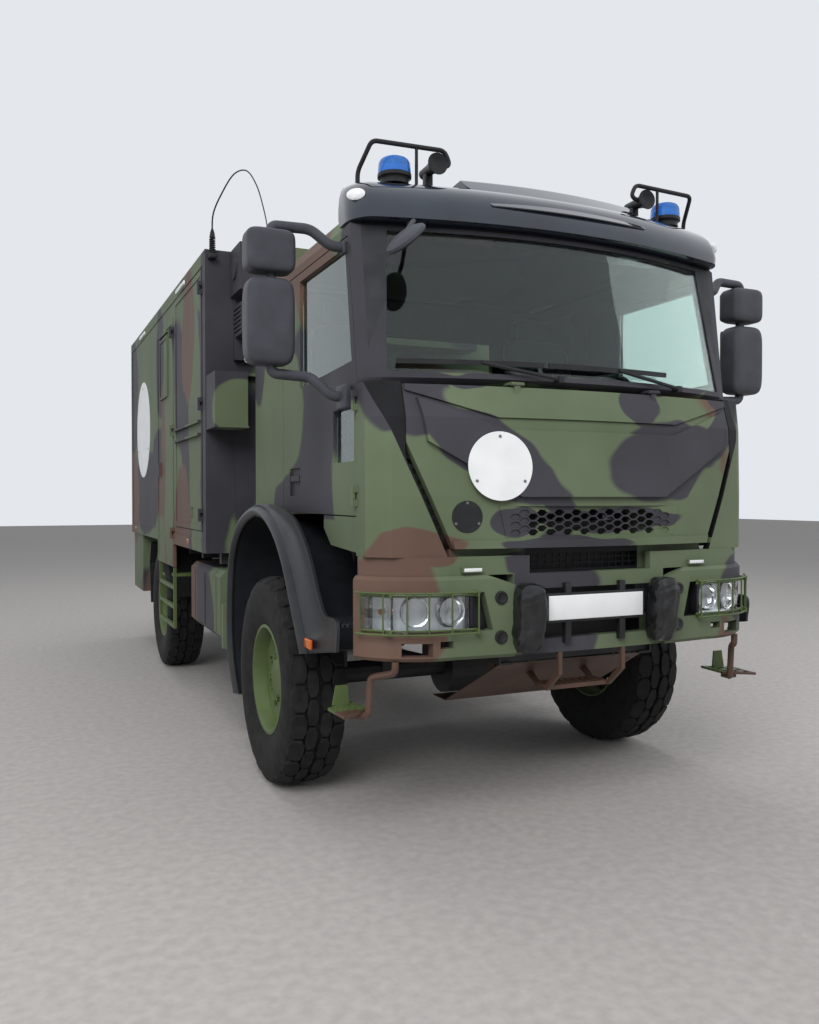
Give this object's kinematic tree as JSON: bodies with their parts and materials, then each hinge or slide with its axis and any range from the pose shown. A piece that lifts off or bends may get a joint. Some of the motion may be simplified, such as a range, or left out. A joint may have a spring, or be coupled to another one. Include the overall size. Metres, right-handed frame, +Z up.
{
  "type": "military ambulance truck",
  "caption": "Four-wheel-drive ambulance truck with a flat-nosed cab, hard box body, opening doors and steered front wheels.",
  "frame": {"origin": "on the ground, under the middle of the truck's length and width", "axes": "+X to the truck's left, +Y from nose to tail, +Z up"},
  "size_m": [2.996, 7.09, 3.6151],
  "materials": {
    "camo_paint": "matt infrared camouflage paint, sprayed",
    "chassis_paint": "black chassis paint",
    "green_paint": "matt green paint",
    "brown_paint": "matt brown paint",
    "fender_plastic": "moulded black plastic",
    "mirror_plastic": "grained dark plastic",
    "visor_plastic": "smoked polished plastic",
    "tyre_rubber": "black rubber, slightly dusty",
    "glass": "green tinted glass",
    "lamp_glass": "clear lamp cover",
    "red_lens": "red lens",
    "blue_lens": "blue lens",
    "vinyl": "black coated fabric",
    "seat_fabric": "woven seat cloth",
    "dash_plastic": "grained dark plastic",
    "steel": "bare steel",
    "engine_iron": "cast iron"
  },
  "bodies": {
    "chassis": {"antenna": "dash_plastic", "battery_box": "chassis_paint", "beacons": "blue_lens", "box_front_units": "camo_paint", "box_ladder": "green_paint", "box_shell": "camo_paint", "cab_shell": "camo_paint", "chassis_frame": "chassis_paint", "corner_panels": "camo_paint", "dashboard": "dash_plastic", "entry_steps": "green_paint", "front_axle": "chassis_paint", "front_bumper": "camo_paint", "front_fenders": "fender_plastic", "fuel_tank": "camo_paint", "headlamps": "lamp_glass", "hook_covers": "vinyl", "kerb_mirror": "mirror_plastic", "lamp_guards": "green_paint", "lower_grille": "fender_plastic", "powertrain": "engine_iron", "radiator": "chassis_paint", "rear_axle": "chassis_paint", "rear_fenders": "fender_plastic", "roof_fittings": "fender_plastic", "roof_visor": "visor_plastic", "seats": "seat_fabric", "skid_plate": "brown_paint", "tail_lamps": "red_lens", "windscreen": "glass", "wipers": "fender_plastic"},
    "knuckle_left": {"knuckle_left": "chassis_paint"},
    "knuckle_right": {"knuckle_right": "chassis_paint"},
    "tie_rod": {"tie_rod": "steel"},
    "cab_door_left": {"cab_door_left": "camo_paint", "door_glass_left": "glass", "mirrors_left": "mirror_plastic"},
    "cab_door_right": {"cab_door_right": "camo_paint", "door_glass_right": "glass", "mirrors_right": "mirror_plastic"},
    "front_flap": {"front_flap": "camo_paint"},
    "box_side_door": {"box_side_door": "camo_paint"},
    "locker_door": {"locker_door": "camo_paint"},
    "rear_door_left": {"rear_door_left": "camo_paint"},
    "rear_door_right": {"rear_door_right": "camo_paint"},
    "wheel_front_left": {"tyre_front_left": "tyre_rubber", "rim_front_left": "green_paint"},
    "wheel_front_right": {"tyre_front_right": "tyre_rubber", "rim_front_right": "green_paint"},
    "wheel_rear_left": {"tyre_rear_left": "tyre_rubber", "rim_rear_left": "green_paint"},
    "wheel_rear_right": {"tyre_rear_right": "tyre_rubber", "rim_rear_right": "green_paint"}
  },
  "joints": [
    {"name": "steer_left", "type": "hinge", "parent": "chassis", "child": "knuckle_left", "pos_m": [0.86, -2.1, 0.56], "axis": [0, 0, 1], "range_deg": [-32, 32]},
    {"name": "steer_right", "type": "hinge", "parent": "chassis", "child": "knuckle_right", "pos_m": [-0.86, -2.1, 0.56], "axis": [0, 0, 1], "range_deg": [-32, 32]},
    {"name": "tie_rod_pivot", "type": "hinge", "parent": "knuckle_left", "child": "tie_rod", "pos_m": [0.86, -1.84, 0.5], "axis": [0, 0, 1], "range_deg": [-32, 32]},
    {"name": "roll_front_left", "type": "hinge", "parent": "knuckle_left", "child": "wheel_front_left", "pos_m": [1.055, -2.1, 0.56], "axis": [1, 0, 0], "continuous": true},
    {"name": "roll_front_right", "type": "hinge", "parent": "knuckle_right", "child": "wheel_front_right", "pos_m": [-1.055, -2.1, 0.56], "axis": [1, 0, 0], "continuous": true},
    {"name": "roll_rear_left", "type": "hinge", "parent": "chassis", "child": "wheel_rear_left", "pos_m": [1.055, 1.59, 0.56], "axis": [1, 0, 0], "continuous": true},
    {"name": "roll_rear_right", "type": "hinge", "parent": "chassis", "child": "wheel_rear_right", "pos_m": [-1.055, 1.59, 0.56], "axis": [1, 0, 0], "continuous": true},
    {"name": "swing_cab_door_left", "type": "hinge", "parent": "chassis", "child": "cab_door_left", "pos_m": [1.068, -3.153, 1.77], "axis": [0, 0, -1], "range_deg": [0, 70]},
    {"name": "swing_cab_door_right", "type": "hinge", "parent": "chassis", "child": "cab_door_right", "pos_m": [-1.068, -3.153, 1.77], "axis": [0, 0, 1], "range_deg": [0, 70]},
    {"name": "lift_front_flap", "type": "hinge", "parent": "chassis", "child": "front_flap", "pos_m": [0, -3.402, 2.059], "axis": [-1, 0, 0], "range_deg": [0, 70]},
    {"name": "swing_side_door", "type": "hinge", "parent": "chassis", "child": "box_side_door", "pos_m": [-1.268, 0.597, 2.1], "axis": [0, 0, 1], "range_deg": [0, 95]},
    {"name": "swing_locker_door", "type": "hinge", "parent": "chassis", "child": "locker_door", "pos_m": [-1.268, -0.633, 2.2], "axis": [0, 0, 1], "range_deg": [0, 100]},
    {"name": "swing_rear_door_left", "type": "hinge", "parent": "chassis", "child": "rear_door_left", "pos_m": [1.163, 3.448, 2.15], "axis": [0, 0, -1], "range_deg": [0, 105]},
    {"name": "swing_rear_door_right", "type": "hinge", "parent": "chassis", "child": "rear_door_right", "pos_m": [-1.163, 3.448, 2.15], "axis": [0, 0, 1], "range_deg": [0, 105]}
  ],
  "couplings": [
    {"joint": "steer_right", "follows": "steer_left", "ratio": 1},
    {"joint": "tie_rod_pivot", "follows": "steer_left", "ratio": -1}
  ]
}
